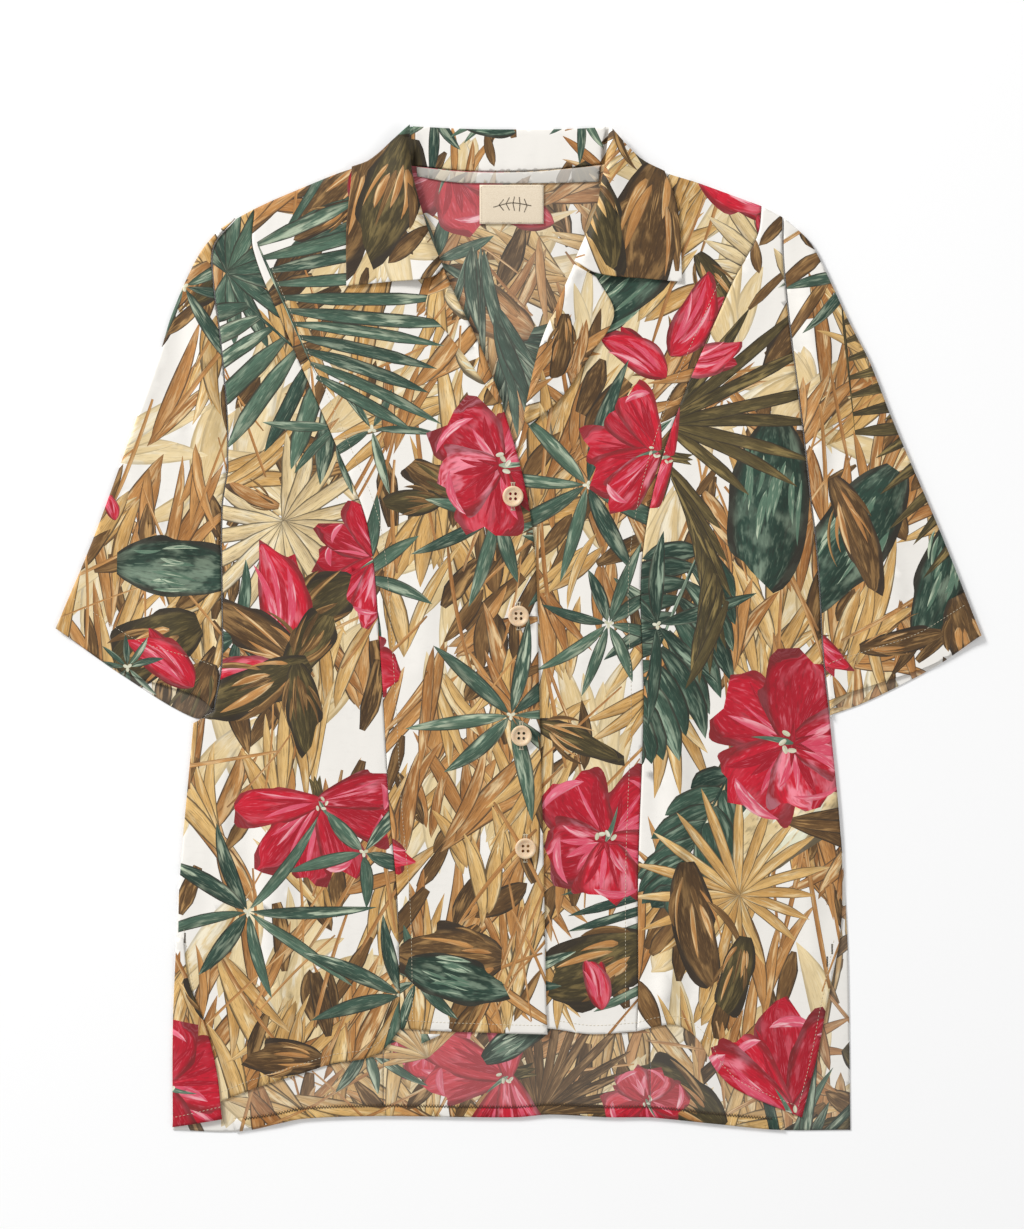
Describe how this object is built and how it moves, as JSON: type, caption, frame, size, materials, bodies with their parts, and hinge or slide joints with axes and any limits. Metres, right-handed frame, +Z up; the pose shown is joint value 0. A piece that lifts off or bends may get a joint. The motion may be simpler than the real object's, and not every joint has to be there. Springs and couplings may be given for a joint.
{
  "type": "hawaiian shirt",
  "caption": "Short-sleeved hawaiian shirt with an open camp collar, buttoned front and dropped back hem, laid flat on its back.",
  "frame": {"origin": "middle of the ground the laid shirt covers, on the table", "axes": "+X across the body to the viewer's right, +Y from the hem towards the collar, +Z up from the table out of the front"},
  "size_m": [0.666, 0.7237, 0.0105],
  "materials": {
    "printed_cloth": "smooth light viscose with a printed leaf and flower pattern",
    "bias_strip": "the same cloth cut on the bias, its paler wrong side out",
    "woven_label": "cream woven satin, left blank",
    "button": "peach polyester with a soft gloss"
  },
  "bodies": {
    "root": {"back_centre": "printed_cloth", "back_side_left": "printed_cloth", "back_side_right": "printed_cloth", "back_hem_turnup": "printed_cloth", "back_turned_edge": "printed_cloth", "front_centre_left": "printed_cloth", "front_centre_right": "printed_cloth", "front_side_left": "printed_cloth", "front_side_right": "printed_cloth", "facing_corner": "printed_cloth", "sleeve_left": "printed_cloth", "sleeve_right": "printed_cloth", "collar_stand": "printed_cloth", "collar_fall": "printed_cloth", "collar_leaf_left": "printed_cloth", "collar_leaf_right": "printed_cloth", "lapel_left": "printed_cloth", "lapel_right": "printed_cloth", "neck_tape": "bias_strip", "neck_label": "woven_label", "button_1": "button", "button_2": "button", "button_3": "button", "button_4": "button"}
  },
  "joints": []
}
